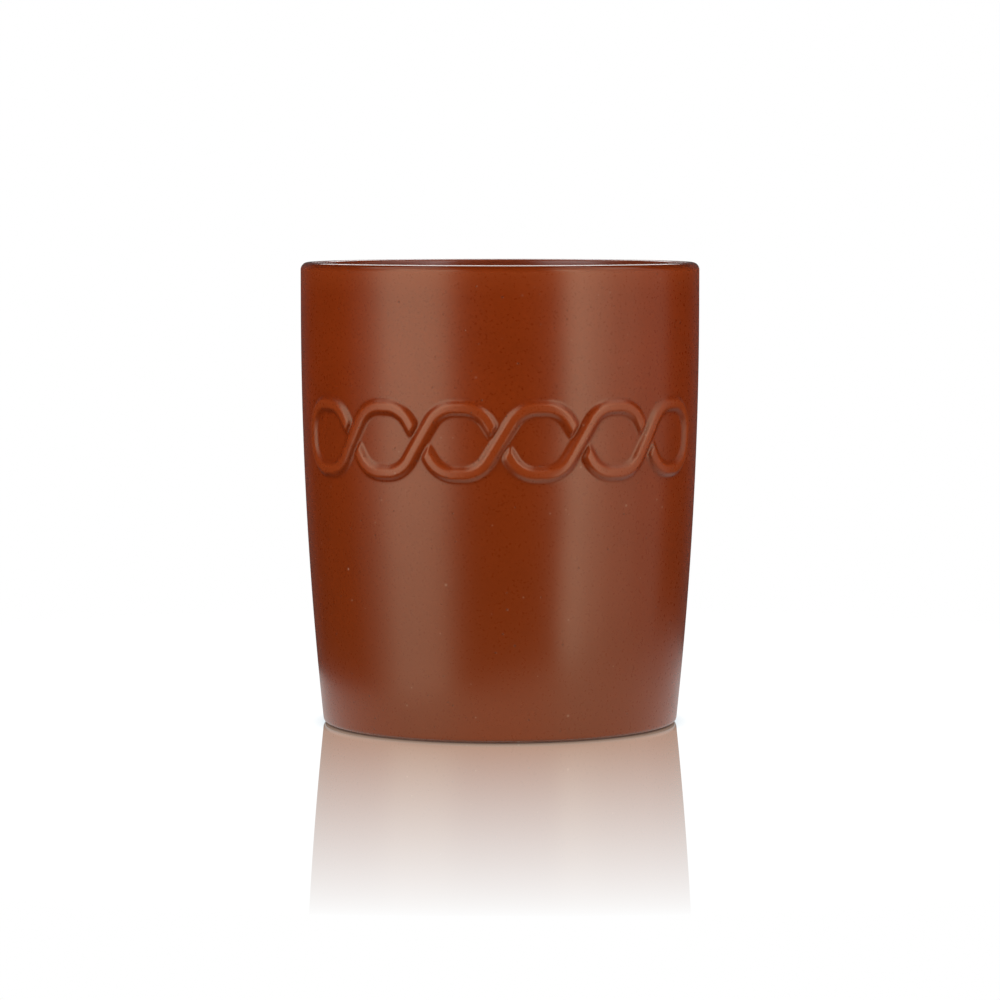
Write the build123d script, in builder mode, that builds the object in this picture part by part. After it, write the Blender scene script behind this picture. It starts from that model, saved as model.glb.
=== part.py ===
"""A straight-sided clay drinking cup: a turned body, raised knotwork on its front, and its glaze coats.

The cup stands on Z = 0 with its axis on Z, and its decorated front faces -Y. Sizes are in millimetres.
"""

import os
from math import asin, atan2, cos, degrees, radians, sin, sqrt, tan

from build123d import *

# Clay body, measured bare: an upright collar under the lip, then a wall that curves in to the foot
cup_height = 92.3
rim_diameter = 79.4
collar_height = 9.0
wall_arc_radius = 790.0
wall_thickness = 3.8
floor_thickness = 5.5
lip_outer_radius = 1.2
lip_inner_radius = 1.5
floor_corner_radius = 9.0

# Foot: a flat ring round a shallow recess
foot_ring_width = 5.0
foot_recess_depth = 1.8
foot_edge_radius = 1.2
foot_inner_edge_radius = 0.6
recess_corner_radius = 0.6

# Glaze: one dipping thickness, wiped off the foot up to the glaze line
glaze_thickness = 0.3
glaze_line_height = 0.4

# Raised knotwork: two flat strands that pass over and under each other, joined in a loop at each end
knot_arc = 138.0
knot_eyes = 6
knot_height = 15.6
knot_drop = 33.5
strand_width = 2.8
strand_rise = 0.7
weave_gap = 1.0
apex_flat = 0.8

# A rounded edge takes at most this share of the wall that it is on
edge_share = 0.4

# Worked out from the sizes above
rim_radius = rim_diameter / 2
collar_foot = cup_height - collar_height
arc_centre_radius = rim_radius - wall_arc_radius
floor_height = foot_recess_depth + floor_thickness


def wall_radius(height, depth=0.0):
    """Radius of the outer clay wall at a height, or of the surface that lies some depth inside it."""
    below_collar = max(collar_foot - height, 0.0)
    return arc_centre_radius + sqrt((wall_arc_radius - depth) ** 2 - below_collar**2)


def wall_line(depth, low_height, high_height):
    """Line of the wall's section, some depth inside the clay: an arc, then straight up the collar."""
    radius = wall_arc_radius - depth
    arc_angle = degrees(asin((collar_foot - low_height) / radius))
    CenterArc((arc_centre_radius, collar_foot), radius, -arc_angle, arc_angle)
    Line((rim_radius - depth, collar_foot), (rim_radius - depth, high_height))


foot_radius = wall_radius(0)
recess_radius = foot_radius - foot_ring_width
bore_radius = rim_radius - wall_thickness
floor_radius = wall_radius(floor_height, wall_thickness)

# Half section of the clay, from the recess under the floor round to the inside
with BuildSketch(Plane.XZ) as clay_section:
    with BuildLine():
        Polyline((0, floor_height), (0, foot_recess_depth), (recess_radius, foot_recess_depth))
        Polyline((recess_radius, foot_recess_depth), (recess_radius, 0), (foot_radius, 0))
        wall_line(0, 0, cup_height)
        Line((rim_radius, cup_height), (bore_radius, cup_height))
        wall_line(wall_thickness, floor_height, cup_height)
        Line((floor_radius, floor_height), (0, floor_height))
    make_face()
    rounded_corners = {
        (recess_radius, foot_recess_depth): (recess_corner_radius, foot_recess_depth),
        (recess_radius, 0): (foot_inner_edge_radius, foot_recess_depth),
        (foot_radius, 0): (foot_edge_radius, foot_ring_width),
        (rim_radius, cup_height): (lip_outer_radius, wall_thickness),
        (bore_radius, cup_height): (lip_inner_radius, wall_thickness),
        (floor_radius, floor_height): (floor_corner_radius, floor_radius),
    }
    for corner, (corner_radius, wall) in rounded_corners.items():
        corner_vertex = clay_section.vertices().sort_by_distance((*corner, 0))[0]
        fillet(corner_vertex, radius=min(corner_radius, edge_share * wall))

with BuildPart() as clay_body:
    add(clay_section.sketch)
    revolve(axis=Axis.Z)

# Half section of the glaze: a skin of one thickness all round the clay
with BuildSketch(Plane.XZ) as glaze_section:
    add(clay_section.sketch_local)
    offset(amount=glaze_thickness)
    add(clay_section.sketch_local, mode=Mode.SUBTRACT)

# The three coats part along the middle of the wall, the floor and the foot ring
skin_radius = rim_radius + glaze_thickness
skin_top = cup_height + glaze_thickness
seam_depth = wall_thickness / 2
seam_height = foot_recess_depth + floor_thickness / 2
seam_rim_radius = rim_radius - seam_depth
seam_floor_radius = wall_radius(seam_height, seam_depth)
seam_foot_radius = foot_radius - foot_ring_width / 2

# Liner glaze: the inside of the cup and the inner half of the lip
with BuildPart() as liner_glaze:
    with BuildSketch(Plane.XZ):
        add(glaze_section.sketch_local)
        with BuildLine():
            Polyline((seam_rim_radius, skin_top), (0, skin_top), (0, seam_height))
            Line((0, seam_height), (seam_floor_radius, seam_height))
            wall_line(seam_depth, seam_height, skin_top)
        make_face(mode=Mode.INTERSECT)
    revolve(axis=Axis.Z)

# Base glaze: the recess under the floor, inside the bare foot ring
with BuildPart() as base_glaze:
    with BuildSketch(Plane.XZ):
        add(glaze_section.sketch_local)
        with BuildLine():
            Polyline((0, seam_height), (0, glaze_line_height), (seam_foot_radius, glaze_line_height))
            Polyline((seam_foot_radius, glaze_line_height), (seam_foot_radius, seam_height), (0, seam_height))
        make_face(mode=Mode.INTERSECT)
    revolve(axis=Axis.Z)

# The knot's strands swing up and down once in each eye
knot_centre_height = cup_height - knot_drop
knot_radius = wall_radius(knot_centre_height)
eye_angle = knot_arc / knot_eyes
half_eye = knot_radius * sin(radians(eye_angle / 2))
strand_overlap = apex_flat / 2
strand_swing = (knot_height - strand_width) / 2
crossing_run = half_eye / 2
crossing_slope = atan2(strand_swing, crossing_run)
bend_radius = (half_eye - crossing_run - apex_flat) / tan(crossing_slope / 2)
loop_reach = half_eye - strand_width / 2
loop_radius = min(loop_reach, strand_swing) - apex_flat


def knot_plane(angle):
    """Upright plane inside the cup, facing out through the wall at an angle from the front."""
    outward = Vector(sin(radians(angle)), -cos(radians(angle)), 0)
    along = Vector(cos(radians(angle)), sin(radians(angle)), 0)
    return Plane(outward * knot_radius / 2 + Vector(0, 0, knot_centre_height), along, outward)


def crossing_line(rise):
    """Centre line of a strand from one eye to the next, which rises through the crossing, or falls."""
    end = half_eye + strand_overlap
    start_points = [(-end, -rise), (-crossing_run, -rise)]
    end_points = [(crossing_run, rise), (end, rise)]
    with BuildLine() as centre_line:
        FilletPolyline(*start_points, *end_points, radius=bend_radius)
    return centre_line.line


def loop_line(side):
    """Centre line of the loop that joins the two strands at one end of the knot."""
    start = -side * strand_overlap
    upper_points = [(start, strand_swing), (side * loop_reach, strand_swing)]
    lower_points = [(side * loop_reach, -strand_swing), (start, -strand_swing)]
    with BuildLine() as centre_line:
        FilletPolyline(*upper_points, *lower_points, radius=loop_radius)
    return centre_line.line


def knot_relief(growth):
    """The strands standing on the clay wall, grown on every open side by a coat's thickness."""
    rise = strand_rise + growth
    width = strand_width + 2 * growth
    cleared_width = strand_width + 2 * (weave_gap - growth)
    low_height = knot_centre_height - knot_height
    with BuildPart() as relief:
        for crossing in range(1, knot_eyes):
            with BuildSketch(knot_plane((crossing - knot_eyes / 2) * eye_angle)):
                trace(crossing_line(-strand_swing), line_width=width)
                trace(crossing_line(strand_swing), line_width=cleared_width, mode=Mode.SUBTRACT)
                trace(crossing_line(strand_swing), line_width=width)
        for side in (-1, 1):
            with BuildSketch(knot_plane(side * (knot_arc - eye_angle) / 2)):
                trace(loop_line(side), line_width=width)
        extrude(amount=knot_radius)
        with BuildSketch(Plane.XZ):
            with BuildLine():
                wall_line(0, low_height, cup_height)
                wall_line(-rise, low_height, cup_height)
                Line((wall_radius(low_height), low_height), (wall_radius(low_height, -rise), low_height))
                Line((rim_radius, cup_height), (rim_radius + rise, cup_height))
            make_face()
        revolve(axis=Axis.Z, mode=Mode.INTERSECT)
    return relief.part


# Knotwork: the clay strands raised on the front of the wall
with BuildPart() as knotwork:
    add(knot_relief(0))

# Outer glaze: the wall from the lip to the glaze line, swelling over the knotwork
with BuildPart() as outer_glaze:
    with BuildSketch(Plane.XZ):
        add(glaze_section.sketch_local)
        with BuildLine():
            wall_line(seam_depth, seam_height, skin_top)
            Polyline((seam_rim_radius, skin_top), (skin_radius, skin_top), (skin_radius, glaze_line_height))
            Polyline((skin_radius, glaze_line_height), (seam_foot_radius, glaze_line_height))
            Line((seam_foot_radius, glaze_line_height), (seam_floor_radius, seam_height))
        make_face(mode=Mode.INTERSECT)
    revolve(axis=Axis.Z)
    add(knot_relief(glaze_thickness))
    add(knotwork.part, mode=Mode.SUBTRACT)

pieces = {
    "clay_body": clay_body,
    "knotwork": knotwork,
    "outer_glaze": outer_glaze,
    "liner_glaze": liner_glaze,
    "base_glaze": base_glaze,
}
os.makedirs("parts", exist_ok=True)
for name, piece in pieces.items():
    piece.part.label = name
    export_step(piece.part, f"parts/{name}.step")
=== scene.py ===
"""A glazed clay drinking cup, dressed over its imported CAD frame.

The outer coat with its raised knotwork, the liner coat and the base coat are turned pieces, which stand
for the coats that CAD made. The bare clay stays as CAD made it. Lengths are in metres, and heights are
above the table.
"""

import logging
from collections.abc import Iterable
from dataclasses import asdict, dataclass, field
from enum import Enum
from math import asin, atan2, ceil, cos, degrees, hypot, pi, radians, sin, sqrt, tan
from typing import Any, ClassVar

import bmesh
import bpy
from mathutils import Matrix, Vector

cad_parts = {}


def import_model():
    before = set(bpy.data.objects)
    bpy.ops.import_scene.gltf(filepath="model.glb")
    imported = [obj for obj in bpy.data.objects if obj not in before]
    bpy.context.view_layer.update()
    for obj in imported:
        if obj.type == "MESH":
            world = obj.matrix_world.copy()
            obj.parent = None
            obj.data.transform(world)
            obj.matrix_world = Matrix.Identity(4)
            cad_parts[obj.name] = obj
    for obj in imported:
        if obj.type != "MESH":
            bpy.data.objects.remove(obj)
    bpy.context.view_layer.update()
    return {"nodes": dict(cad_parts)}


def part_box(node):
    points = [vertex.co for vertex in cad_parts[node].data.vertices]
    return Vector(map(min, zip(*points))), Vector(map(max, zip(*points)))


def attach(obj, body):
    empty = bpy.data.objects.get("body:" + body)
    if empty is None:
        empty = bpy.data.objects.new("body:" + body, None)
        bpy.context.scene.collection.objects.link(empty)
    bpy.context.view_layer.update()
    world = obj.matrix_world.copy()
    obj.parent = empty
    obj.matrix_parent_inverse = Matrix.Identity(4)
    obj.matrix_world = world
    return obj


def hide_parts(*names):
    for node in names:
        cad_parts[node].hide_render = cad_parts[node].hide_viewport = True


LOG = logging.getLogger("clay_cup")

Point = tuple[float, float]  # radius and height in a half section
Range = tuple[float, float]
Colour = tuple[float, float, float]  # linear red, green and blue
Mesh = bmesh.types.BMesh
Piece = bpy.types.Object
Material = bpy.types.Material
Socket = bpy.types.NodeSocket

MM = 0.001
WHOLE: Range = (0.0, 1.0)
BLACK: Colour = (0.0, 0.0, 0.0)
WHITE: Colour = (1.0, 1.0, 1.0)


class Node(Enum):
    """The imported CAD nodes."""

    CLAY_BODY = "clay_body"
    KNOTWORK = "knotwork"
    OUTER_GLAZE = "outer_glaze"
    LINER_GLAZE = "liner_glaze"
    BASE_GLAZE = "base_glaze"


class Slot(Enum):
    """The record's material slots."""

    CLAY = "clay"
    SATIN_GLAZE = "satin_glaze"
    GLOSS_GLAZE = "gloss_glaze"


class Sum(Enum):
    """The sums that a Math node works out."""

    ADD = "ADD"
    SUBTRACT = "SUBTRACT"
    MULTIPLY = "MULTIPLY"
    DIVIDE = "DIVIDE"
    POWER = "POWER"
    MAXIMUM = "MAXIMUM"
    LESS_THAN = "LESS_THAN"


class Blend(Enum):
    """The ways in which two colours mix."""

    COVER = "MIX"
    TAKE_OFF = "SUBTRACT"


def smooth_step(share: float) -> float:
    """Eases a share from 0 to 1, and holds it at either end."""
    held = min(max(share, 0.0), 1.0)
    return held * held * (3.0 - 2.0 * held)


def polar(centre: Point, radius: float, angle: float) -> Point:
    """Gives the point at a radius from a centre, at an angle in degrees from outwards to upwards."""
    return centre[0] + radius * cos(radians(angle)), centre[1] + radius * sin(radians(angle))


def rows_between(start: float, end: float, pitch: float) -> list[float]:
    """Divides a stretch into even rows.

    Args:
        start: Where the stretch starts, which isn't among the rows.
        end: Where the stretch ends, which is the last row.
        pitch: The most that a row may measure.

    Returns:
        The place of each row.
    """
    count = ceil(abs(end - start) / pitch)
    return [start + (end - start) * row / count for row in range(1, count + 1)]


def scene_object(name: str, data: bpy.types.ID) -> bpy.types.Object:
    """Makes an object of a mesh, a lamp or a camera.

    Args:
        name: The object's name.
        data: What it shows.

    Returns:
        The new object, linked to the scene.
    """
    made = bpy.data.objects.new(name, data)
    bpy.context.scene.collection.objects.link(made)
    return made


def mesh_object(name: str, mesh: Mesh) -> Piece:
    """Makes an object of a mesh that is being modelled.

    Args:
        name: The object's name.
        mesh: The mesh, which is freed.

    Returns:
        The new object, linked to the scene.
    """
    data = bpy.data.meshes.new(name)
    mesh.to_mesh(data)
    mesh.free()
    return scene_object(name, data)


@dataclass(frozen=True)
class CupForm:
    """The clay body's sizes, which every coat follows."""

    height: float
    rim_radius: float
    collar_height: float = 9.0 * MM
    wall_arc_radius: float = 790.0 * MM
    wall_thickness: float = 3.8 * MM
    floor_height: float = 7.3 * MM
    floor_corner: float = 9.0 * MM
    lip_outer_round: float = 1.2 * MM
    lip_inner_round: float = 1.5 * MM
    foot_round: float = 1.2 * MM
    ring_width: float = 5.0 * MM
    ring_inner_round: float = 0.6 * MM
    recess_depth: float = 1.8 * MM
    recess_corner: float = 0.6 * MM
    glaze: float = 0.3 * MM

    @classmethod
    def from_frame(cls) -> "CupForm":
        """Reads the height and the rim from the packed clay body."""
        low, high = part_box(Node.CLAY_BODY.value)
        return cls(height=high.z, rim_radius=(high.x - low.x) / 2)

    @property
    def collar_foot(self) -> float:
        """Height at which the upright collar meets the curved wall."""
        return self.height - self.collar_height

    @property
    def seam_radius(self) -> float:
        """Radius on the lip at which the outer coat and the liner coat meet."""
        return self.rim_radius - self.wall_thickness / 2

    @property
    def bore_radius(self) -> float:
        """Inside radius of the clay at its mouth."""
        return self.rim_radius - self.wall_thickness

    def wall_radius(self, height: float, depth: float = 0.0) -> float:
        """Gives the radius of a surface that follows the wall.

        Args:
            height: Height above the table.
            depth: How far the surface lies inside the clay's outer face.

        Returns:
            The radius of that surface.
        """
        below = max(self.collar_foot - height, 0.0)
        arc_centre = self.rim_radius - self.wall_arc_radius
        return arc_centre + sqrt((self.wall_arc_radius - depth) ** 2 - below**2)

    def wall_lean(self, height: float, depth: float = 0.0) -> float:
        """Degrees by which the wall leans inwards at a height, on a surface some depth inside it."""
        return degrees(asin((self.collar_foot - height) / (self.wall_arc_radius - depth)))


class SectionPen:
    """Draws a half section in the XZ plane as a chain of edges, for a spin to turn."""

    def __init__(self, mesh: Mesh, start: Point) -> None:
        """Puts the first vertex down.

        Args:
            mesh: The mesh to draw in.
            start: Radius and height of the first vertex.
        """
        self.mesh = mesh
        self.tip = mesh.verts.new((start[0], 0.0, start[1]))

    def line(self, end: Point, rows: int = 1) -> None:
        """Draws a straight run.

        Args:
            end: Radius and height at which the run ends.
            rows: The even rows that it is divided into.
        """
        step = (Vector((end[0], 0.0, end[1])) - self.tip.co) / rows
        for _ in range(rows):
            drawn = bmesh.ops.extrude_vert_indiv(self.mesh, verts=[self.tip])
            self.tip = drawn["verts"][0]
            bmesh.ops.translate(self.mesh, verts=[self.tip], vec=step)

    def arc(self, centre: Point, turn: float, steps: int) -> None:
        """Draws an arc round a centre.

        Args:
            centre: Radius and height of the arc's centre.
            turn: Degrees to turn, positive from outwards to upwards.
            steps: The even steps that it is divided into.
        """
        drawn = bmesh.ops.spin(
            self.mesh,
            geom=[self.tip],
            cent=(centre[0], 0.0, centre[1]),
            axis=(0.0, 1.0, 0.0),
            angle=-radians(turn),
            steps=steps,
        )
        self.tip = next(part for part in drawn["geom_last"] if isinstance(part, bmesh.types.BMVert))

    def wall(self, form: CupForm, depth: float, heights: Iterable[float]) -> None:
        """Draws a run that follows the cup's wall, some depth inside its clay, through the heights."""
        for height in heights:
            self.line((form.wall_radius(height, depth), height))


@dataclass(frozen=True)
class Spin:
    """One run of a spin round the cup's axis: how far it turns, in degrees, and in how many steps."""

    turn: float
    steps: int


@dataclass
class Coat:
    """A coat of glaze that lies on the clay: a closed section, spun round the cup's axis.

    It is spun from its first angle, in degrees from +X, in one full run or in several that close the round.
    """

    form: CupForm
    spins: tuple[Spin, ...] = (Spin(360.0, 240),)
    first_angle: float = 0.0
    edge_angle: float = 50.0
    merge_reach: float = 0.002 * MM

    name: ClassVar[str]
    stands_for: ClassVar[tuple[Node, ...]]
    slot: ClassVar[Slot]

    def draw_section(self, mesh: Mesh) -> None:
        """Draws the closed half section of the coat in the given mesh."""
        raise NotImplementedError

    def raise_relief(self, mesh: Mesh) -> None:
        """Raises what stands on the coat, which is nothing on a plain one."""

    def turn_section(self, mesh: Mesh) -> None:
        """Spins the drawn section round the axis, and closes its seam and its poles.

        Args:
            mesh: The mesh that holds the section.
        """
        section = mesh.verts[:] + mesh.edges[:]
        bmesh.ops.rotate(
            mesh, verts=mesh.verts, cent=Vector(), matrix=Matrix.Rotation(radians(self.first_angle), 3, "Z")
        )
        for spin in self.spins:
            turned = bmesh.ops.spin(
                mesh,
                geom=section,
                cent=(0.0, 0.0, 0.0),
                axis=(0.0, 0.0, 1.0),
                angle=radians(spin.turn),
                steps=spin.steps,
                use_merge=len(self.spins) == 1,
            )
            section = turned["geom_last"]
        bmesh.ops.remove_doubles(mesh, verts=mesh.verts, dist=self.merge_reach)
        bmesh.ops.recalc_face_normals(mesh, faces=mesh.faces)

    def build(self) -> Piece:
        """Makes the coat's mesh and object.

        Returns:
            The coat, linked to the scene, with smooth faces and sharp edges at its seam.
        """
        mesh = bmesh.new()
        self.draw_section(mesh)
        self.turn_section(mesh)
        self.raise_relief(mesh)
        piece = mesh_object(self.name, mesh)
        piece.data.shade_smooth()
        piece.data.set_sharp_from_angle(angle=radians(self.edge_angle))
        return piece

    def dress(self, piece: Piece, finish: Material) -> None:
        """Gives the coat its finish and its place in the frame.

        Args:
            piece: The coat as built.
            finish: The material that it shows.
        """
        piece.data.materials.append(finish)
        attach(piece, "root")
        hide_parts(*(node.value for node in self.stands_for))


@dataclass(frozen=True)
class Knot:
    """The raised plait: two strands that pass over and under each other, joined in a loop at each end.

    Its strands run on upright planes round the axis, one for each crossing and one for each end loop.
    Places on a plane are measured from its middle, along the wall and up.
    """

    centre_height: float
    radius: float
    arc: float = 138.0
    eyes: int = 6
    tall: float = 15.6 * MM
    strand_width: float = 2.8 * MM
    rise: float = 0.7 * MM
    weave_gap: float = 1.0 * MM
    apex_flat: float = 0.8 * MM
    crown_half: float = 0.45 * MM
    skirt: float = 0.45 * MM
    pool_reach: float = 1.1 * MM

    drop: ClassVar[float] = 33.5 * MM

    @classmethod
    def on_wall(cls, form: CupForm) -> "Knot":
        """Puts the knot's middle on the wall, at its drop below the top of the clay."""
        height = form.height - cls.drop
        return cls(centre_height=height, radius=form.wall_radius(height))

    @property
    def eye_angle(self) -> float:
        """Degrees round the cup that one eye takes."""
        return self.arc / self.eyes

    @property
    def half_eye(self) -> float:
        """Half of an eye's length."""
        return self.radius * sin(radians(self.eye_angle / 2))

    @property
    def swing(self) -> float:
        """How far a strand's middle swings above and below the knot's own middle."""
        return (self.tall - self.strand_width) / 2

    @property
    def reach(self) -> float:
        """How far above and below its middle the knot changes the wall."""
        return (self.tall + self.strand_width) / 2

    def covers(self, angle: float, height: float) -> bool:
        """Tells whether the knot reaches a place on the wall, in degrees from the front and in height."""
        widest = self.arc / 2 + self.eye_angle / 4
        return abs(height - self.centre_height) <= self.reach and abs(angle) <= widest

    def strand_offset(self, along: float, up: float) -> float:
        """Distance from a place to the middle line of the strand that rises through a crossing."""
        return min(self._half_strand_offset(along, up), self._half_strand_offset(-along, -up))

    def _half_strand_offset(self, along: float, up: float) -> float:
        """Gives the distance to the half of the rising strand that lies past the crossing.

        Args:
            along: The place along the wall.
            up: The place up the wall.

        Returns:
            The least distance to its slope, its bend and its flat end.
        """
        run = self.half_eye / 2
        slope = atan2(self.swing, run)
        tangent = self.half_eye - run - self.apex_flat
        bend = tangent / tan(slope / 2)
        flat_start = run + tangent
        slope_end = hypot(run, self.swing) - tangent
        on_slope = min(max(along * cos(slope) + up * sin(slope), 0.0), slope_end)
        offset = hypot(along - on_slope * cos(slope), up - on_slope * sin(slope))
        offset = min(offset, hypot(min(along - flat_start, 0.0), up - self.swing))
        east, north = along - flat_start, up - (self.swing - bend)
        bearing = atan2(-east, north)
        if 0.0 <= bearing <= slope:
            offset = min(offset, abs(hypot(east, north) - bend))
        return offset

    def loop_offset(self, along: float, up: float) -> float:
        """Gives the distance to the middle line of an end loop that closes in the along direction.

        Args:
            along: The place along the wall.
            up: The place up the wall.

        Returns:
            The distance to the loop's flat run, its rounded corner or its upright run.
        """
        reach = self.half_eye - self.strand_width / 2
        corner = min(reach, self.swing) - self.apex_flat
        high = abs(up)
        east, north = along - (reach - corner), high - (self.swing - corner)
        if east > 0.0 and north > 0.0:
            return abs(hypot(east, north) - corner)
        upright = abs(along - reach)
        return upright if east > 0.0 else min(abs(high - self.swing), upright)

    def crown(self, offset: float) -> float:
        """Height of a strand's rounded section at a distance from its middle, as a share of its rise."""
        foot = self.strand_width / 2 + self.skirt
        return smooth_step((foot - offset) / (foot - self.crown_half))

    def relief(self, angle: float, height: float) -> tuple[float, float]:
        """Gives the knot's relief at a place on the wall.

        Args:
            angle: Degrees round the cup from the front.
            height: Height above the table.

        Returns:
            The share of the full rise there, and how much glaze pools there, from 0 to 1.
        """
        up = height - self.centre_height
        unit = round((angle + self.arc / 2) / self.eye_angle)
        if 1 <= unit < self.eyes:
            along = self.radius * sin(radians(angle - (unit - self.eyes / 2) * self.eye_angle))
            over = self.strand_offset(along, up)
            under = self.strand_offset(along, -up)
            cleared = self.strand_width / 2 + self.skirt / 2
            passing = smooth_step((over - cleared) / self.weave_gap)
            share = max(self.crown(over), self.crown(under) * passing)
            nearest = min(over, under)
        else:
            side = 1.0 if angle > 0.0 else -1.0
            middle = side * (self.arc - self.eye_angle) / 2
            along = side * self.radius * sin(radians(angle - middle))
            nearest = self.loop_offset(along, up)
            share = self.crown(nearest)
        pooled = smooth_step(1.0 - (nearest - self.strand_width / 2) / self.pool_reach) * (1.0 - share)
        return share, pooled


@dataclass
class OuterCoat(Coat):
    """The satin coat on the outside, from the seam on the lip to the glaze line above the foot.

    It is turned finely across the front, where the knot stands, and coarsely round the back.
    """

    knot: Knot = field(kw_only=True)
    spins: tuple[Spin, ...] = (Spin(152.0, 400), Spin(208.0, 96))
    first_angle: float = -166.0
    relief_pitch: float = 0.25 * MM
    plain_pitch: float = 2.4 * MM
    clay_pitch: float = 10.0 * MM
    foot_end_angle: float = -29.0

    name: ClassVar[str] = "outer_coat"
    stands_for: ClassVar[tuple[Node, ...]] = (Node.OUTER_GLAZE, Node.KNOTWORK)
    slot: ClassVar[Slot] = Slot.SATIN_GLAZE
    strand_layer: ClassVar[str] = "strand"
    pool_layer: ClassVar[str] = "pool"

    def wall_rows(self, low: float, high: float) -> list[float]:
        """Divides the skin's wall into rows, which are close together across the knot.

        Args:
            low: Height at which the wall ends.
            high: Height at which it starts, which isn't among the rows.

        Returns:
            The heights of the rows, from high to low.
        """
        knot_top = self.knot.centre_height + self.knot.reach
        knot_foot = self.knot.centre_height - self.knot.reach
        return (
            rows_between(high, knot_top, self.plain_pitch)
            + rows_between(knot_top, knot_foot, self.relief_pitch)
            + rows_between(knot_foot, low, self.plain_pitch)
        )

    def draw_section(self, mesh: Mesh) -> None:
        """Draws the skin from the lip down to a round end, and goes back up along the clay.

        Args:
            mesh: The mesh to draw in.
        """
        form = self.form
        glaze, lip, foot = form.glaze, form.lip_outer_round, form.foot_round
        lip_centre = (form.rim_radius - lip, form.height - lip)
        foot_centre = (form.wall_radius(foot, foot), foot)
        wall_end = -form.wall_lean(foot, foot)
        wall_low = foot + foot * sin(radians(wall_end))
        foot_turn = self.foot_end_angle - wall_end
        end_centre = polar(foot_centre, foot + glaze / 2, self.foot_end_angle)

        pen = SectionPen(mesh, (form.seam_radius, form.height))
        pen.line((form.seam_radius, form.height + glaze))
        pen.line((lip_centre[0], form.height + glaze), rows=2)
        pen.arc(lip_centre, -90.0, steps=14)
        pen.line((form.rim_radius + glaze, form.collar_foot), rows=4)
        pen.wall(form, -glaze, self.wall_rows(wall_low, form.collar_foot))
        pen.arc(foot_centre, foot_turn, steps=5)
        pen.arc(end_centre, -180.0, steps=6)
        pen.arc(foot_centre, -foot_turn, steps=5)
        pen.wall(form, 0.0, rows_between(wall_low, form.collar_foot, self.clay_pitch))
        pen.line((form.rim_radius, lip_centre[1]))
        pen.arc(lip_centre, 90.0, steps=6)
        pen.line((form.seam_radius, form.height))

    def raise_relief(self, mesh: Mesh) -> None:
        """Raises the knot's strands out of the skin, and keeps what they do to the glaze as attributes.

        Args:
            mesh: The turned coat.
        """
        strand = mesh.verts.layers.float.new(self.strand_layer)
        pool = mesh.verts.layers.float.new(self.pool_layer)
        for vertex in mesh.verts:
            height, radius = vertex.co.z, hypot(vertex.co.x, vertex.co.y)
            angle = degrees(atan2(vertex.co.x, -vertex.co.y))
            on_skin = radius > self.form.wall_radius(height, -self.form.glaze / 2)
            if on_skin and self.knot.covers(angle, height):
                share, pooled = self.knot.relief(angle, height)
                vertex[strand], vertex[pool] = share, pooled
                vertex.co.xy *= (radius + share * self.knot.rise) / radius


@dataclass
class LinerCoat(Coat):
    """The glossy coat inside the cup, from the seam on the lip to the middle of the floor.

    It fills out the clay's rounded inner edge to a tighter one.
    """

    pitch: float = 5.0 * MM
    lip_edge: float = 0.7 * MM

    name: ClassVar[str] = "liner_coat"
    stands_for: ClassVar[tuple[Node, ...]] = (Node.LINER_GLAZE,)
    slot: ClassVar[Slot] = Slot.GLOSS_GLAZE

    def draw_section(self, mesh: Mesh) -> None:
        """Draws the skin from the lip down to the axis, and goes back along the clay.

        Args:
            mesh: The mesh to draw in.
        """
        form = self.form
        glaze, lip, corner = form.glaze, form.lip_inner_round, form.floor_corner
        lip_centre = (form.bore_radius + lip, form.height - lip)
        edge_centre = (form.bore_radius - glaze + self.lip_edge, form.height + glaze - self.lip_edge)
        corner_depth = form.wall_thickness + corner
        corner_height = form.floor_height + corner
        corner_centre = (form.wall_radius(corner_height, corner_depth), corner_height)
        lean = form.wall_lean(corner_height, corner_depth)
        corner_turn = 90.0 - lean
        wall_low = corner_height - corner * sin(radians(lean))

        pen = SectionPen(mesh, (form.seam_radius, form.height))
        pen.line((form.seam_radius, form.height + glaze))
        pen.line((edge_centre[0], form.height + glaze))
        pen.arc(edge_centre, 90.0, steps=12)
        pen.line((form.bore_radius - glaze, form.collar_foot), rows=3)
        pen.wall(form, form.wall_thickness + glaze, rows_between(form.collar_foot, wall_low, self.pitch))
        pen.arc(corner_centre, -corner_turn, steps=16)
        pen.line((0.0, form.floor_height + glaze), rows=6)
        pen.line((0.0, form.floor_height))
        pen.line((corner_centre[0], form.floor_height), rows=2)
        pen.arc(corner_centre, corner_turn, steps=8)
        pen.wall(form, form.wall_thickness, rows_between(wall_low, form.collar_foot, 2 * self.pitch))
        pen.line((form.bore_radius, lip_centre[1]))
        pen.arc(lip_centre, -90.0, steps=6)
        pen.line((form.seam_radius, form.height))


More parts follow.
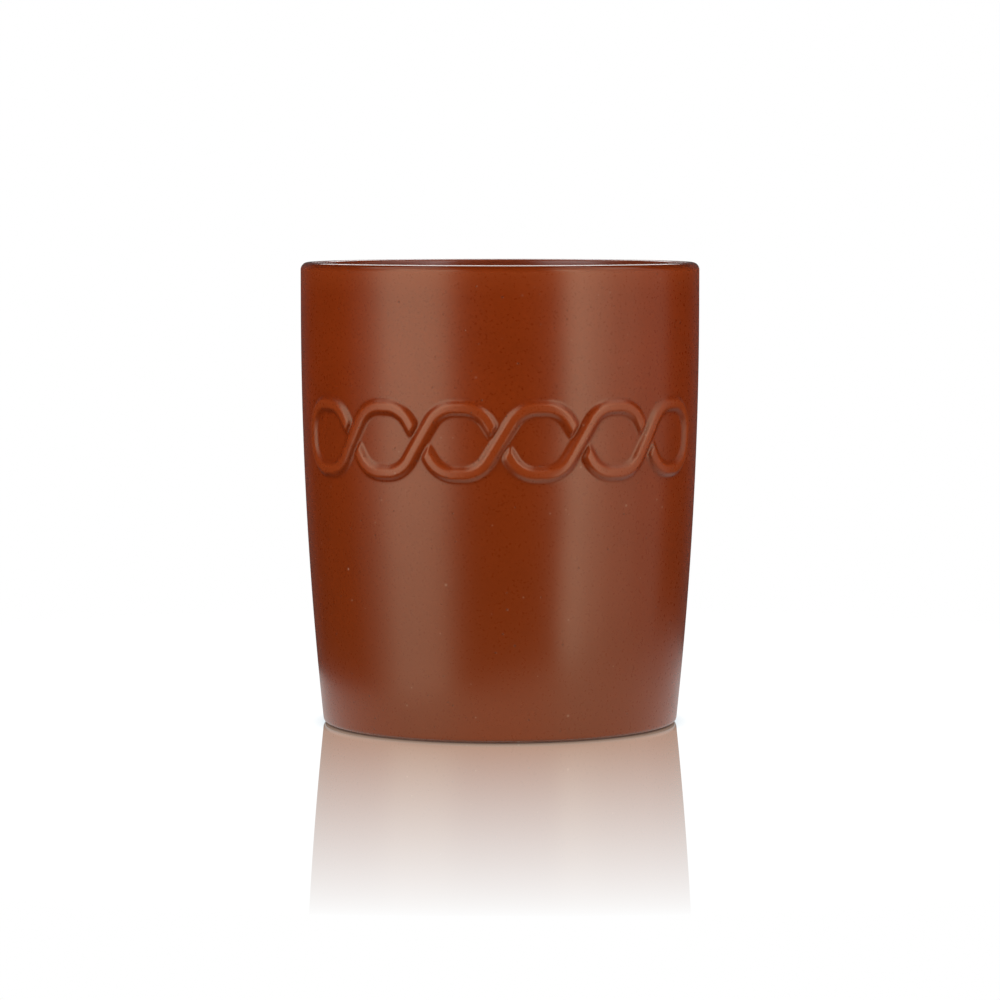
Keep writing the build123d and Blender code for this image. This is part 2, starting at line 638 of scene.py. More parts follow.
@dataclass
class BaseCoat(Coat):
    """The glossy coat in the recess under the floor, up to a round end inside the bare foot ring."""

    end_angle: float = 4.0

    name: ClassVar[str] = "base_coat"
    stands_for: ClassVar[tuple[Node, ...]] = (Node.BASE_GLAZE,)
    slot: ClassVar[Slot] = Slot.GLOSS_GLAZE

    def draw_section(self, mesh: Mesh) -> None:
        """Draws the skin from the axis out to the foot ring, and goes back along the clay.

        Args:
            mesh: The mesh to draw in.
        """
        form = self.form
        glaze, corner, ring_round = form.glaze, form.recess_corner, form.ring_inner_round
        recess_radius = form.wall_radius(0.0) - form.ring_width
        corner_centre = (recess_radius - corner, form.recess_depth - corner)
        ring_centre = (recess_radius + ring_round, ring_round)
        end_centre = polar(ring_centre, ring_round + glaze / 2, 180.0 + self.end_angle)

        pen = SectionPen(mesh, (0.0, form.recess_depth))
        pen.line((0.0, form.recess_depth - glaze))
        pen.line((corner_centre[0], form.recess_depth - glaze), rows=6)
        pen.arc(corner_centre, -90.0, steps=5)
        pen.line((recess_radius - glaze, ring_centre[1]), rows=2)
        pen.arc(ring_centre, self.end_angle, steps=1)
        pen.arc(end_centre, 180.0, steps=6)
        pen.arc(ring_centre, -self.end_angle, steps=1)
        pen.line((recess_radius, corner_centre[1]))
        pen.arc(corner_centre, 90.0, steps=4)
        pen.line((0.0, form.recess_depth), rows=2)


class NodeSheet:
    """Places the nodes of one tree and links them."""

    def __init__(self, tree: bpy.types.NodeTree) -> None:
        """Keeps the tree that the nodes go in."""
        self.tree = tree

    def add(self, kind: str, **settings: Any) -> bpy.types.Node:
        """Places a node.

        Args:
            kind: The node's type name.
            settings: Values of the node's own settings.

        Returns:
            The new node.
        """
        node = self.tree.nodes.new(kind)
        for name, value in settings.items():
            setattr(node, name, value)
        return node

    def join(self, value: Any, socket: Socket) -> None:
        """Links a socket to an input, or sets the input where the value is a plain one.

        Args:
            value: The socket or the plain value.
            socket: The input.
        """
        if isinstance(value, Socket):
            self.tree.links.new(value, socket)
        else:
            socket.default_value = value

    def math(self, operation: Sum, first: Any, second: Any) -> Socket:
        """Works out one sum.

        Args:
            operation: The sum to work out.
            first: The first value or socket.
            second: The second value or socket.

        Returns:
            The result's socket.
        """
        node = self.add("ShaderNodeMath", operation=operation.value)
        self.join(first, node.inputs[0])
        self.join(second, node.inputs[1])
        return node.outputs[0]

    def span(self, value: Any, source: Range = WHOLE, target: Range = WHOLE) -> Socket:
        """Maps a value from one range to another, held at the ends.

        Args:
            value: The value or socket to map.
            source: The range that it comes from.
            target: The range that it goes to.

        Returns:
            The mapped value's socket.
        """
        node = self.add("ShaderNodeMapRange", clamp=True)
        for socket, given in zip(node.inputs, (value, *source, *target)):
            self.join(given, socket)
        return node.outputs["Result"]

    def blend(self, factor: Any, first: Any, second: Any, mode: Blend = Blend.COVER) -> Socket:
        """Mixes two colours.

        Args:
            factor: How much of the second one there is.
            first: The first colour or socket.
            second: The second colour or socket.
            mode: The way that they mix.

        Returns:
            The mixed colour's socket.
        """
        node = self.add("ShaderNodeMix", data_type="RGBA", blend_type=mode.value)
        self.join(factor, node.inputs["Factor"])
        colours = [socket for socket in node.inputs if socket.type == "RGBA"]
        for given, socket in zip((first, second), colours):
            self.join((*given, 1.0) if isinstance(given, tuple) else given, socket)
        return next(socket for socket in node.outputs if socket.type == "RGBA")

    def noise(self, place: Socket, scale: Socket, detail: float, roughness: float = 0.5) -> Socket:
        """Lays a noise.

        Args:
            place: Where the noise is read.
            scale: Its features in a metre.
            detail: Its finer layers.
            roughness: How strong the finer layers are.

        Returns:
            The noise's value, about 0.5 on average.
        """
        node = self.add("ShaderNodeTexNoise")
        self.join(place, node.inputs["Vector"])
        self.join(scale, node.inputs["Scale"])
        self.join(detail, node.inputs["Detail"])
        self.join(roughness, node.inputs["Roughness"])
        return node.outputs["Fac"]


class MaterialSheet(NodeSheet):
    """The nodes of a new material, which starts with a Principled shader and its Object coordinates."""

    def __init__(self, name: str) -> None:
        """Makes the material.

        Args:
            name: The material's name.
        """
        self.material = bpy.data.materials.new(name)
        self.material.use_nodes = True
        super().__init__(self.material.node_tree)
        self.shader = self.tree.nodes["Principled BSDF"]
        self.place = self.add("ShaderNodeTexCoord").outputs["Object"]

    def coordinate(self, axis: str) -> Socket:
        """Gives one coordinate of the place.

        Args:
            axis: The axis that it is measured along, as X, Y or Z.

        Returns:
            The coordinate's socket.
        """
        parted = self.add("ShaderNodeSeparateXYZ")
        self.join(self.place, parted.inputs[0])
        return parted.outputs[axis]

    def distance(self) -> Socket:
        """Gives the distance of the place from the foot of the cup's axis.

        Returns:
            The distance's socket.
        """
        length = self.add("ShaderNodeVectorMath", operation="LENGTH")
        self.join(self.place, length.inputs[0])
        return length.outputs["Value"]

    def surface(self, values: dict[str, Any]) -> None:
        """Gives each named input of the shader its value or socket."""
        for label, value in values.items():
            self.join(value, self.shader.inputs[label])

    def show(self, shader: bpy.types.Node) -> None:
        """Shows another shader in place of the Principled one.

        Args:
            shader: The shader's node.
        """
        self.tree.nodes.remove(self.shader)
        self.shader = shader
        self.join(shader.outputs[0], self.tree.nodes["Material Output"].inputs["Surface"])


@dataclass(frozen=True)
class Mottle:
    """A finish's clouds and grain: their features in a metre, and how far each lifts the colour.

    The lift is from a darker colour to a lighter one. Its start is what is taken off the two together.
    """

    cloud_scale: float
    grain_scale: float
    cloud_lift: float
    grain_lift: float
    start: float = 0.0


@dataclass(frozen=True)
class Spots:
    """A finish's spots: their cells in a metre, their size in a cell, and the share of cells with one."""

    spacing_scale: float
    spot_size: float
    share: float


@dataclass(frozen=True)
class Skin:
    """A glaze's skin: the features of its swell and its peel in a metre, and the peel's share."""

    swell_scale: float
    peel_scale: float
    peel_share: float


class EffectGroup:
    """A shader node group with named inputs and outputs, built once for every material that uses it.

    Its first input is the place at which it is read.
    """

    name: ClassVar[str]
    inputs: ClassVar[tuple[str, ...]]
    outputs: ClassVar[tuple[str, ...]]

    def __init__(self) -> None:
        """Makes the group's sockets and fills it."""
        self.tree = bpy.data.node_groups.new(self.name, "ShaderNodeTree")
        sockets = self.tree.interface
        sockets.new_socket("Place", in_out="INPUT", socket_type="NodeSocketVector")
        for label in self.inputs:
            sockets.new_socket(label, in_out="INPUT", socket_type="NodeSocketFloat")
        for label in self.outputs:
            sockets.new_socket(label, in_out="OUTPUT", socket_type="NodeSocketFloat")
        sheet = NodeSheet(self.tree)
        entry, leave = sheet.add("NodeGroupInput"), sheet.add("NodeGroupOutput")
        for label, socket in self.fill(sheet, entry).items():
            sheet.join(socket, leave.inputs[label])

    def fill(self, sheet: NodeSheet, entry: bpy.types.Node) -> dict[str, Socket]:
        """Places the group's nodes.

        Args:
            sheet: The group's node sheet.
            entry: The node that gives the group's inputs.

        Returns:
            The socket for each output.
        """
        raise NotImplementedError

    def put_in(self, sheet: MaterialSheet, values: Mottle | Spots | Skin) -> bpy.types.Node:
        """Puts the group in a material.

        Args:
            sheet: The material's node sheet.
            values: The material's own values, each named as its input, with underscores for spaces.

        Returns:
            The group's node.
        """
        node = sheet.add("ShaderNodeGroup", node_tree=self.tree)
        sheet.join(sheet.place, node.inputs["Place"])
        for label, value in asdict(values).items():
            sheet.join(value, node.inputs[label.replace("_", " ").capitalize()])
        return node


class KilnMottle(EffectGroup):
    """Soft clouds and fine grain, as a fired surface has, and what they lift its colour by."""

    name = "kiln_mottle"
    inputs = ("Cloud scale", "Grain scale", "Cloud lift", "Grain lift", "Start")
    outputs = ("Clouds", "Grain", "Lift")
    cloud_spread: ClassVar[Range] = (0.3, 0.7)
    grain_spread: ClassVar[Range] = (0.28, 0.72)

    def fill(self, sheet: NodeSheet, entry: bpy.types.Node) -> dict[str, Socket]:
        """Places a noise for the clouds and one for the grain, each spread to run from 0 to 1.

        Args:
            sheet: The group's node sheet.
            entry: The node that gives the group's inputs.

        Returns:
            The socket for each output.
        """
        given = entry.outputs
        clouds = sheet.noise(given["Place"], given["Cloud scale"], detail=3.0, roughness=0.55)
        clouds = sheet.span(clouds, self.cloud_spread)
        grain = sheet.noise(given["Place"], given["Grain scale"], detail=2.0, roughness=0.6)
        grain = sheet.span(grain, self.grain_spread)
        cloud_lift = sheet.math(Sum.MULTIPLY, clouds, given["Cloud lift"])
        grain_lift = sheet.math(Sum.MULTIPLY, grain, given["Grain lift"])
        lift = sheet.math(Sum.SUBTRACT, sheet.math(Sum.ADD, cloud_lift, grain_lift), given["Start"])
        return {"Clouds": clouds, "Grain": grain, "Lift": lift}


class KilnSpecks(EffectGroup):
    """Scattered round spots, such as pinholes and grit."""

    name = "kiln_specks"
    inputs = ("Spacing scale", "Spot size", "Share")
    outputs = ("Spots",)
    size_spread: ClassVar[Range] = (0.5, 1.0)
    soft_edge: ClassVar[Range] = (1.0, 0.6)

    def fill(self, sheet: NodeSheet, entry: bpy.types.Node) -> dict[str, Socket]:
        """Places one spot in some of the cells, softer at its edge.

        Args:
            sheet: The group's node sheet.
            entry: The node that gives the group's inputs.

        Returns:
            The socket for each output.
        """
        given = entry.outputs
        cells = sheet.add("ShaderNodeTexVoronoi", feature="F1", voronoi_dimensions="3D")
        sheet.join(given["Place"], cells.inputs["Vector"])
        sheet.join(given["Spacing scale"], cells.inputs["Scale"])
        drawn = sheet.add("ShaderNodeSeparateColor")
        sheet.join(cells.outputs["Color"], drawn.inputs[0])
        chosen = sheet.math(Sum.LESS_THAN, drawn.outputs[0], given["Share"])
        size_share = sheet.span(drawn.outputs[1], target=self.size_spread)
        size = sheet.math(Sum.MULTIPLY, given["Spot size"], size_share)
        nearness = sheet.math(Sum.DIVIDE, cells.outputs["Distance"], size)
        return {"Spots": sheet.math(Sum.MULTIPLY, chosen, sheet.span(nearness, self.soft_edge))}


class GlazeSkin(EffectGroup):
    """The uneven skin that a melted glaze sets with: a broad swell and a fine orange peel."""

    name = "glaze_skin"
    inputs = ("Swell scale", "Peel scale", "Peel share")
    outputs = ("Height",)

    def fill(self, sheet: NodeSheet, entry: bpy.types.Node) -> dict[str, Socket]:
        """Adds the peel to the swell, in the share that the material asks for.

        Args:
            sheet: The group's node sheet.
            entry: The node that gives the group's inputs.

        Returns:
            The socket for each output.
        """
        given = entry.outputs
        swell = sheet.noise(given["Place"], given["Swell scale"], detail=1.0)
        peel = sheet.noise(given["Place"], given["Peel scale"], detail=2.0, roughness=0.55)
        return {"Height": sheet.math(Sum.ADD, swell, sheet.math(Sum.MULTIPLY, peel, given["Peel share"]))}


@dataclass(frozen=True)
class Effects:
    """The node groups that the finishes share."""

    mottle: KilnMottle
    specks: KilnSpecks
    skin: GlazeSkin

    @classmethod
    def build(cls) -> "Effects":
        """Builds each group once."""
        return cls(KilnMottle(), KilnSpecks(), GlazeSkin())


class FinishSheet(MaterialSheet):
    """The nodes of one finish, which has the shared effects with its own values."""

    def __init__(self, name: str, effects: Effects) -> None:
        """Makes the material under its name, and keeps the effects."""
        super().__init__(name)
        self.effects = effects

    def mottle(self, values: Mottle) -> bpy.types.Node:
        """Places the clouds and the grain, and returns their node."""
        return self.effects.mottle.put_in(self, values)

    def spots(self, values: Spots) -> Socket:
        """Scatters spots, and returns the socket of how far a place is in one."""
        return self.effects.specks.put_in(self, values).outputs["Spots"]

    def skin(self, values: Skin) -> Socket:
        """Places the uneven skin, and returns the socket of its height."""
        return self.effects.skin.put_in(self, values).outputs["Height"]

    def attribute(self, layer: str) -> Socket:
        """Reads one of the piece's attributes, and returns its socket."""
        return self.add("ShaderNodeAttribute", attribute_name=layer).outputs["Fac"]

    def emboss(self, height: Socket, depth: float) -> None:
        """Gives the shader a bump.

        Args:
            height: The bump's height, from 0 to 1.
            depth: What a height of 1 measures.
        """
        bump = self.add("ShaderNodeBump")
        self.join(1.0, bump.inputs["Strength"])
        self.join(depth, bump.inputs["Distance"])
        self.join(height, bump.inputs["Height"])
        self.surface({"Normal": bump.outputs["Normal"]})


@dataclass(frozen=True)
class Finish:
    """A surface finish, which makes its own material."""

    name: str

    def material(self, effects: Effects) -> Material:
        """Makes the material, with the shared node groups, and returns it."""
        raise NotImplementedError


@dataclass(frozen=True)
class SatinGlaze(Finish):
    """Red-brown satin glaze, with a smoother edge at the lip, whose colour there is darkened as painted
    shade.

    It is thinner and redder on the strands, and darker where it pools. Towards the rim it is lighter and
    redder, partly for thinner glaze and partly as painted light, and towards the foot it is darker as
    painted shade.
    A fade is the stretch of heights, or of a strand's rise, over which a tone comes in, up to its share.
    """

    body: Colour = (0.235, 0.0278, 0.0018)
    deep: Colour = (0.188, 0.0208, 0.0010)
    thin: Colour = (0.270, 0.0405, 0.0065)
    pooled: Colour = (0.140, 0.0145, 0.0010)
    # Painted shade: darker colour towards the foot, for light that weakens lower down.
    settled: Colour = (0.182, 0.0268, 0.0028)
    # Painted shade: the lip's edge is coloured darker for the shade on its rounding.
    lip: Colour = (0.125, 0.0145, 0.0012)
    grit: Colour = (0.420, 0.2200, 0.1500)
    pit: Colour = (0.030, 0.0100, 0.0060)
    sheen_tint: Colour = (1.0, 0.87, 0.61)
    roughness: Range = (0.27, 0.29)
    ior: float = 1.5
    mottle: Mottle = Mottle(cloud_scale=70.0, grain_scale=1700.0, cloud_lift=0.5, grain_lift=0.9, start=0.2)
    skin: Skin = Skin(swell_scale=60.0, peel_scale=900.0, peel_share=0.025)
    skin_depth: float = 0.12 * MM
    # Lighter and redder towards the rim: partly thinner glaze, partly painted light for a top that is lit
    # more strongly.
    rim_fade: Range = (86.5 * MM, 91.0 * MM)
    rim_share: float = 0.5
    lip_fade: Range = (91.2 * MM, 92.3 * MM)
    lip_share: float = 0.85
    lip_polish: float = 0.17
    foot_fade: Range = (70.0 * MM, 18.0 * MM)
    foot_share: float = 0.75
    strand_fade: Range = (0.55, 1.0)
    strand_share: float = 0.8
    pool_share: float = 0.4
    grit_spots: Spots = Spots(spacing_scale=330.0, spot_size=0.105, share=0.58)
    grit_fade: Range = (66.0 * MM, 44.0 * MM)
    grit_strength: Range = (0.19, 0.56)
    pit_spots: Spots = Spots(spacing_scale=430.0, spot_size=0.110, share=0.70)
    pit_strength: float = 0.45
    pit_sink: float = 0.3

    def material(self, effects: Effects) -> Material:
        """Makes the material.

        Args:
            effects: The shared node groups.

        Returns:
            The new material.
        """
        sheet = FinishSheet(self.name, effects)
        height = sheet.coordinate("Z")
        mottle = sheet.mottle(self.mottle)
        edge = sheet.span(height, self.lip_fade)
        strand, pool = sheet.attribute(OuterCoat.strand_layer), sheet.attribute(OuterCoat.pool_layer)
        grit, pits = sheet.spots(self.grit_spots), sheet.spots(self.pit_spots)
        grit_strength = sheet.span(height, self.grit_fade, self.grit_strength)
        tones = (
            # Partly thinner glaze, partly painted light towards the rim.
            (self.thin, sheet.span(height, self.rim_fade, (0.0, self.rim_share))),
            # Painted shade: the lip's edge is darker.
            (self.lip, sheet.math(Sum.MULTIPLY, edge, self.lip_share)),
            # Painted shade: darker towards the foot.
            (self.settled, sheet.span(height, self.foot_fade, (0.0, self.foot_share))),
            (self.thin, sheet.span(strand, self.strand_fade, (0.0, self.strand_share))),
            (self.pooled, sheet.math(Sum.MULTIPLY, pool, self.pool_share)),
            (self.grit, sheet.math(Sum.MULTIPLY, grit, grit_strength)),
            (self.pit, sheet.math(Sum.MULTIPLY, pits, self.pit_strength)),
        )
        colour = sheet.blend(mottle.outputs["Lift"], self.deep, self.body)
        for tone, share in tones:
            colour = sheet.blend(share, colour, tone)
        roughness = sheet.span(mottle.outputs["Grain"], target=self.roughness)
        polished = sheet.math(Sum.SUBTRACT, roughness, sheet.math(Sum.MULTIPLY, edge, self.lip_polish))
        tint = (*self.sheen_tint, 1.0)
        sheet.surface({"Base Color": colour, "Roughness": polished, "IOR": self.ior, "Specular Tint": tint})
        sunk = sheet.math(Sum.SUBTRACT, sheet.skin(self.skin), sheet.math(Sum.MULTIPLY, pits, self.pit_sink))
        sheet.emboss(sunk, self.skin_depth)
        return sheet.material


@dataclass(frozen=True)
class GlossGlaze(Finish):
    """Brown liner glaze: smoother and glossier than the outside, with a soft flow in its colour."""

    body: Colour = (0.198, 0.0355, 0.0110)
    deep: Colour = (0.162, 0.0270, 0.0080)
    pit: Colour = (0.030, 0.0100, 0.0060)
    roughness: Range = (0.20, 0.26)
    ior: float = 1.5
    mottle: Mottle = Mottle(cloud_scale=55.0, grain_scale=1500.0, cloud_lift=0.7, grain_lift=0.3)
    skin: Skin = Skin(swell_scale=60.0, peel_scale=900.0, peel_share=0.03)
    skin_depth: float = 0.08 * MM
    pit_spots: Spots = Spots(spacing_scale=110.0, spot_size=0.020, share=0.10)
    pit_strength: float = 0.8

    def material(self, effects: Effects) -> Material:
        """Makes the material.

        Args:
            effects: The shared node groups.

        Returns:
            The new material.
        """
        sheet = FinishSheet(self.name, effects)
        mottle = sheet.mottle(self.mottle)
        pits = sheet.math(Sum.MULTIPLY, sheet.spots(self.pit_spots), self.pit_strength)
        colour = sheet.blend(mottle.outputs["Lift"], self.deep, self.body)
        colour = sheet.blend(pits, colour, self.pit)
        roughness = sheet.span(mottle.outputs["Clouds"], target=self.roughness)
        sheet.surface({"Base Color": colour, "Roughness": roughness, "IOR": self.ior})
        sheet.emboss(sheet.skin(self.skin), self.skin_depth)
        return sheet.material


@dataclass(frozen=True)
class BareClay(Finish):
    """Fired red clay with no glaze: matt, sandy and a little scuffed."""

    body: Colour = (0.300, 0.1050, 0.0480)
    deep: Colour = (0.215, 0.0680, 0.0290)
    sand: Colour = (0.480, 0.2900, 0.1800)
    roughness: Range = (0.82, 0.95)
    mottle: Mottle = Mottle(cloud_scale=120.0, grain_scale=2200.0, cloud_lift=0.5, grain_lift=0.5)
    grain_depth: float = 0.06 * MM
    sand_spots: Spots = Spots(spacing_scale=900.0, spot_size=0.30, share=0.22)
    sand_strength: float = 0.6
    sand_rise: float = 0.5

    def material(self, effects: Effects) -> Material:
        """Makes the material.

        Args:
            effects: The shared node groups.

        Returns:
            The new material.
        """
        sheet = FinishSheet(self.name, effects)
        mottle = sheet.mottle(self.mottle)
        sand = sheet.spots(self.sand_spots)
        colour = sheet.blend(mottle.outputs["Lift"], self.deep, self.body)
        colour = sheet.blend(sheet.math(Sum.MULTIPLY, sand, self.sand_strength), colour, self.sand)
        roughness = sheet.span(mottle.outputs["Grain"], target=self.roughness)
        sheet.surface({"Base Color": colour, "Roughness": roughness})
        height = sheet.math(Sum.ADD, mottle.outputs["Grain"], sheet.math(Sum.MULTIPLY, sand, self.sand_rise))
        sheet.emboss(height, self.grain_depth)
        return sheet.material


class ClayBody:
    """The bare fired clay, which shows on the foot ring as CAD made it."""

    def dress(self, clay: Piece, finish: Material) -> None:
        """Gives the CAD node its finish.

        Args:
            clay: The packed clay body.
            finish: The material that it shows.
        """
        if not clay.material_slots:
            clay.data.materials.append(finish)
        for material_slot in clay.material_slots:
            material_slot.material = finish


@dataclass(frozen=True)
class Softbox:
    """A lamp behind a flat diffuser, turned to the cup's axis.

    Its azimuths are those of its two sides, in degrees from the front. Its radiance is that of its face.
    Its low and high are the heights of its two ends where it stands upright, and its tilt is how many
    degrees it then leans to look down at the cup.
    """

    name: str
    azimuths: Range
    radiance: float
    distance: float = 0.60
    low: float = -0.26
    high: float = 0.80
    tilt: float = 0.0
    reflected: bool = True

    def place(self) -> None:
        """Puts the lamp in the scene, where the camera doesn't see it."""
        first, last = self.azimuths
        angle, middle = radians((first + last) / 2), (self.low + self.high) / 2
        lamp = bpy.data.lights.new(self.name, "AREA")
        lamp.shape = "RECTANGLE"
        lamp.size = 2.0 * self.distance * tan(radians(last - first) / 2)
        lamp.size_y = self.high - self.low
        lamp.energy = pi * self.radiance * lamp.size * lamp.size_y
        softbox = scene_object(self.name, lamp)
        softbox.location = (self.distance * sin(angle), -self.distance * cos(angle), middle)
        softbox.rotation_euler = (pi / 2 - radians(self.tilt), 0.0, angle)
        softbox.visible_camera = False
        softbox.visible_glossy = self.reflected


@dataclass(frozen=True)
class Downlight:
    """A narrow lamp straight above the cup, which lights its floor and leaves the lip alone."""

    name: str
    height: float = 0.40
    width: float = 0.050
    spread: float = 3.0
    power: float = 0.006

    def place(self) -> None:
        """Puts the lamp in the scene, where neither the camera nor the glaze shows it."""
        lamp = bpy.data.lights.new(self.name, "AREA")
        lamp.shape = "DISK"
        lamp.size, lamp.spread, lamp.energy = self.width, radians(self.spread), self.power
        downlight = scene_object(self.name, lamp)
        downlight.location = (0.0, 0.0, self.height)
        downlight.visible_camera = downlight.visible_glossy = False


@dataclass(frozen=True)
class Studio:
    """The camera, the pale ground and the soft light round the cup."""

    camera_distance: float = 0.8216
    camera_height: float = 0.1066
    camera_pitch: float = 4.31
    camera_lens: float = 147.1
    ambience: float = 0.02
    ground_drop: float = 0.05 * MM
    ground_half: float = 4.0
    contact_reach: float = 3.0 * MM
    contact_samples: int = 16
    mirror_full: Colour = (0.65, 0.743, 0.80)
    mirror_curve: float = 0.75
    mirror_fade: Range = (0.225, 0.036)
    mirror_slant: Range = (0.10, 0.80)
    mirror_slant_share: Range = (0.05, 1.0)
    plinth_radius: float = 0.100
    plinth_centre: tuple[float, float, float] = (0.030, 0.020, 0.0)
    plinth_hole: float = 0.033
    plinth_segments: int = 96
    plinth_drop: float = 0.1 * MM
    plinth_depth: Range = (-0.06, 0.01)
    plinth_glow: Range = (1.20, 0.75)
    plinth_reach: Range = (0.070, 0.140)
    plinth_fade: Range = (1.0, 0.2)
    softboxes: tuple[Softbox, ...] = (
        Softbox("left_wide", (-91.0, -21.0), 0.24),
        Softbox("left_middle", (-79.0, -26.0), 0.52),
        Softbox("left_core", (-67.0, -32.0), 1.06),
        Softbox("left_upper", (-72.0, -28.0), 0.88, low=-0.06),
        Softbox("left_high", (-70.0, -29.0), 0.80, low=0.05),
        Softbox("left_top", (-117.0, -61.0), 1.30, distance=0.48, low=0.56, high=1.06, tilt=58.0),
        Softbox("right_wide", (34.5, 108.0), 0.49),
        Softbox("right_middle", (36.0, 84.0), 0.44),
        Softbox("right_core", (37.0, 64.0), 0.53),
        Softbox("right_edge", (36.3, 49.0), 1.45),
        Softbox("right_upper", (36.0, 60.0), 0.54, low=-0.06),
        Softbox("right_high", (36.0, 60.0), 0.58, low=0.05),
        Softbox("right_top", (61.0, 117.0), 1.20, distance=0.48, low=0.56, high=1.06, tilt=58.0),
        Softbox("back_panel", (165.5, 194.5), 3.80, distance=0.80, low=0.36, high=1.05),
        Softbox("back_wall", (145.0, 215.0), 0.05, distance=0.80, low=-0.30, high=0.35),
        Softbox("front_fill", (-24.0, 24.0), 0.20, distance=0.90, low=0.10, reflected=False),
        Softbox("left_fill", (-74.0, -26.0), 0.55, distance=0.90, low=0.00, high=0.70, reflected=False),
        Softbox("right_fill", (41.0, 89.0), 1.40, distance=0.90, low=0.05, high=0.75, reflected=False),
        Softbox("back_fill", (150.0, 210.0), 1.70, distance=0.90, low=-0.25, high=0.40, reflected=False),
    )
    downlight: Downlight = Downlight("mouth_fill")

    def place_camera(self) -> None:
        """Puts the camera where the photograph was taken from."""
        data = bpy.data.cameras.new("photo_camera")
        data.lens = self.camera_lens
        camera = scene_object("photo_camera", data)
        camera.location = (0.0, -self.camera_distance, self.camera_height)
        camera.rotation_euler = (radians(90.0 - self.camera_pitch), 0.0, 0.0)
        bpy.context.scene.camera = camera

    def light_world(self) -> None:
        """Gives the camera and the polished ground a white background, and the cup a dim even light."""
        world = bpy.data.worlds.new("studio")
        world.use_nodes = True
        sheet = NodeSheet(world.node_tree)
        background = world.node_tree.nodes["Background"]
        path = sheet.add("ShaderNodeLightPath")
        seen = sheet.math(Sum.MAXIMUM, path.outputs["Is Camera Ray"], path.outputs["Is Singular Ray"])
        sheet.join((*WHITE, 1.0), background.inputs["Color"])
        sheet.join(sheet.span(seen, target=(self.ambience, 1.0)), background.inputs["Strength"])
        bpy.context.scene.world = world

    def ground_material(self) -> Material:
        """Makes the polished white ground, whose mirror image fades away from the cup and at steep angles.

        It is clear from below, and near the cup its glow is darkened by ambient occlusion as a painted
        contact shadow.

        Returns:
            The new material.
        """
        sheet = MaterialSheet("polished_white")
        nearness = sheet.span(sheet.distance(), self.mirror_fade)
        facing = sheet.add("ShaderNodeLayerWeight").outputs["Facing"]
        slant = sheet.span(facing, self.mirror_slant, self.mirror_slant_share)
        polish = sheet.math(Sum.MULTIPLY, sheet.math(Sum.POWER, nearness, self.mirror_curve), slant)
        mirrored = sheet.blend(polish, BLACK, self.mirror_full)
        unmirrored = sheet.blend(1.0, WHITE, mirrored, Blend.TAKE_OFF)
        # Painted contact shadow: ambient occlusion darkens the glowing white within reach of the cup.
        contact_shadow = sheet.add("ShaderNodeAmbientOcclusion", samples=self.contact_samples)
        sheet.join(self.contact_reach, contact_shadow.inputs["Distance"])
        sheet.join(unmirrored, contact_shadow.inputs["Color"])
        glow = sheet.add("ShaderNodeEmission")
        sheet.join(contact_shadow.outputs["Color"], glow.inputs["Color"])
        gloss = sheet.add("ShaderNodeBsdfAnisotropic", distribution="GGX")
        sheet.join(mirrored, gloss.inputs["Color"])
        sheet.join(0.0, gloss.inputs["Roughness"])
        top = sheet.add("ShaderNodeAddShader")
        sheet.join(glow.outputs[0], top.inputs[0])
        sheet.join(gloss.outputs[0], top.inputs[1])
        sided = sheet.add("ShaderNodeMixShader")
        sheet.join(sheet.add("ShaderNodeNewGeometry").outputs["Backfacing"], sided.inputs[0])
        sheet.join(top.outputs[0], sided.inputs[1])
        sheet.join(sheet.add("ShaderNodeBsdfTransparent").outputs[0], sided.inputs[2])
        sheet.show(sided)
        return sheet.material

    def plinth_material(self) -> Material:
        """Makes the glowing white that the glaze reflects round its foot, brighter in front, as painted
        light for a lit table.

        Returns:
            The new material.
        """
        sheet = MaterialSheet("glowing_white")
        fronted = sheet.span(sheet.coordinate("Y"), self.plinth_depth, self.plinth_glow)
        faded = sheet.span(sheet.distance(), self.plinth_reach, self.plinth_fade)
        # Painted light: the ring glows, brighter in front and fading outwards, in place of a lit table.
        glow = sheet.add("ShaderNodeEmission")
        sheet.join(sheet.math(Sum.MULTIPLY, fronted, faded), glow.inputs["Strength"])
        sheet.show(glow)
        return sheet.material

    def lay_ground(self) -> None:
        """Lays the ground that the camera sees, and under the cup the glowing white ring that the glaze
        reflects.
        """
        mesh = bmesh.new()
        bmesh.ops.create_grid(mesh, x_segments=1, y_segments=1, size=self.ground_half)
        bmesh.ops.translate(mesh, verts=mesh.verts, vec=(0.0, 0.0, -self.ground_drop))
        ground = self._stage_piece("ground", mesh, self.ground_material())
        ground.visible_diffuse = ground.visible_glossy = False
        ground.visible_transmission = ground.visible_shadow = False

        mesh = bmesh.new()
        edge = bmesh.ops.create_circle(mesh, segments=self.plinth_segments, radius=self.plinth_radius)
        bmesh.ops.translate(mesh, verts=edge["verts"], vec=self.plinth_centre)
        bmesh.ops.create_circle(mesh, segments=self.plinth_segments, radius=self.plinth_hole)
        bmesh.ops.bridge_loops(mesh, edges=mesh.edges)
        bmesh.ops.translate(mesh, verts=mesh.verts, vec=(0.0, 0.0, -self.plinth_drop))
        plinth = self._stage_piece("plinth", mesh, self.plinth_material())
        plinth.visible_camera = plinth.visible_diffuse = False

    def _stage_piece(self, name: str, mesh: Mesh, material: Material) -> Piece:
        """Makes an object of the stage.

        Args:
            name: The object's name.
            mesh: Its mesh, which is freed.
            material: Its material.

        Returns:
            The new object.
        """
        piece = mesh_object(name, mesh)
        piece.data.materials.append(material)
        return piece

    def build(self) -> None:
        """Sets up the camera, the light and the ground."""
        self.place_camera()
        self.light_world()
        self.lay_ground()
        for lamp in (*self.softboxes, self.downlight):
            lamp.place()
        bpy.context.scene.view_settings.view_transform = "Standard"


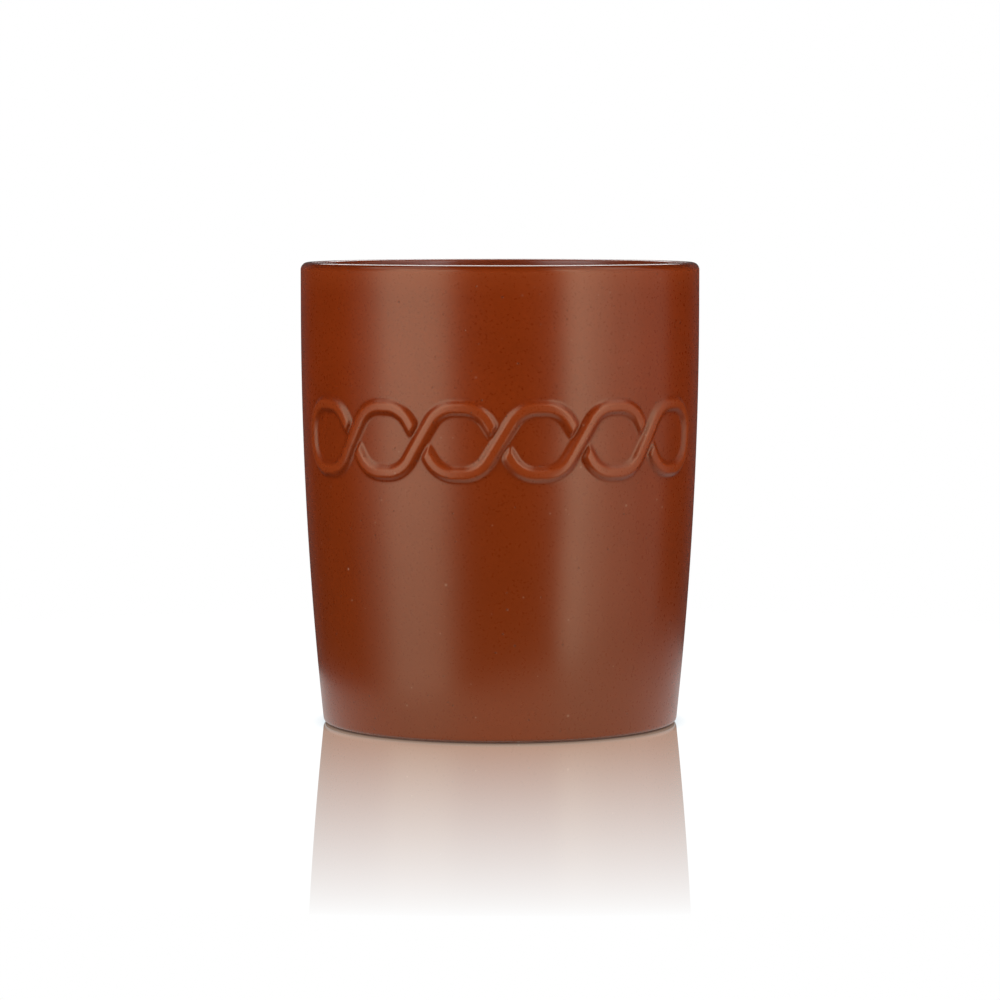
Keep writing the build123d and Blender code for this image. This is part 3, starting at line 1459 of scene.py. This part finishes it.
def main() -> None:
    """Builds the cup round its frame, lights it, and reports each piece."""
    logging.basicConfig(level=logging.INFO, format="%(name)s %(message)s")
    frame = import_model()
    studio = Studio()
    studio.build()
    LOG.info("studio: %d softboxes", len(studio.softboxes))

    form = CupForm.from_frame()
    effects = Effects.build()
    satin = SatinGlaze("satin_red_brown").material(effects)
    gloss = GlossGlaze("glossy_brown").material(effects)
    clay = BareClay("bare_red_clay").material(effects)

    clay_body = frame["nodes"][Node.CLAY_BODY.value]
    ClayBody().dress(clay_body, clay)
    LOG.info("%s: CAD node kept, slot %s", clay_body.name, Slot.CLAY.value)
    for coat, finish in (
        (OuterCoat(form, knot=Knot.on_wall(form)), satin),
        (LinerCoat(form), gloss),
        (BaseCoat(form), gloss),
    ):
        piece = coat.build()
        coat.dress(piece, finish)
        LOG.info("%s: %d faces, slot %s", piece.name, len(piece.data.polygons), coat.slot.value)


if __name__ == "__main__":
    main()
